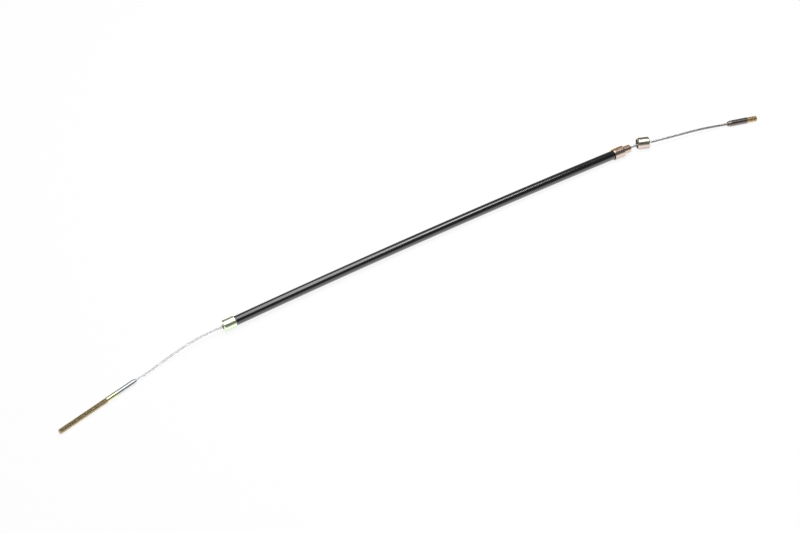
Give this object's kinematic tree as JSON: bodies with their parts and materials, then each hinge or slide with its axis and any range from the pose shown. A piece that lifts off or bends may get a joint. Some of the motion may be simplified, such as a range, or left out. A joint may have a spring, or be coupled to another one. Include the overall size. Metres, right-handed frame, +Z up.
{
  "type": "parking brake cable",
  "caption": "Sheathed parking brake cable with a ferrule on each end of its conduit; the wire rope inside slides and carries a threaded rod, a loose sleeve and an end fitting.",
  "frame": {"origin": "middle of the cable's box, on the surface that it lies on", "axes": "+X along the conduit from the rod end to the brake end, +Z up, both tails of the wire bend to -Y"},
  "size_m": [0.7474, 0.0408, 0.0118],
  "materials": {
    "sheath_plastic": "smooth glossy black extruded plastic with faint ribs",
    "armour_steel": "bare flat steel wire",
    "liner_plastic": "smooth natural plastic",
    "pale_yellow_zinc": "bright pale yellow-green zinc plate",
    "pink_gold_zinc": "bright yellow zinc plate with a pink tint",
    "wire_steel": "stranded galvanised wire rope",
    "brown_zinc": "brown-yellow zinc plate, bare silver where it is swaged",
    "dark_steel": "dark grey swaged steel with a golden zinc tip",
    "sleeve_zinc": "bright yellow zinc plate with a brown and green tint"
  },
  "bodies": {
    "conduit": {"outer_sheath": "sheath_plastic", "armour_coil": "armour_steel", "inner_liner": "liner_plastic", "rod_end_ferrule": "pale_yellow_zinc", "brake_end_ferrule": "pink_gold_zinc"},
    "inner_cable": {"inner_wire": "wire_steel", "threaded_rod": "brown_zinc", "brake_end_fitting": "dark_steel"},
    "loose_sleeve": {"loose_sleeve": "sleeve_zinc"}
  },
  "joints": [
    {"name": "cable_slide", "type": "slide", "parent": "conduit", "child": "inner_cable", "axis": [1, 0, 0], "range_m": [-0.002, 0.018]},
    {"name": "sleeve_slide", "type": "slide", "parent": "inner_cable", "child": "loose_sleeve", "axis": [0.9836, -0.1804, 0], "range_m": [-0.002, 0.036]}
  ]
}
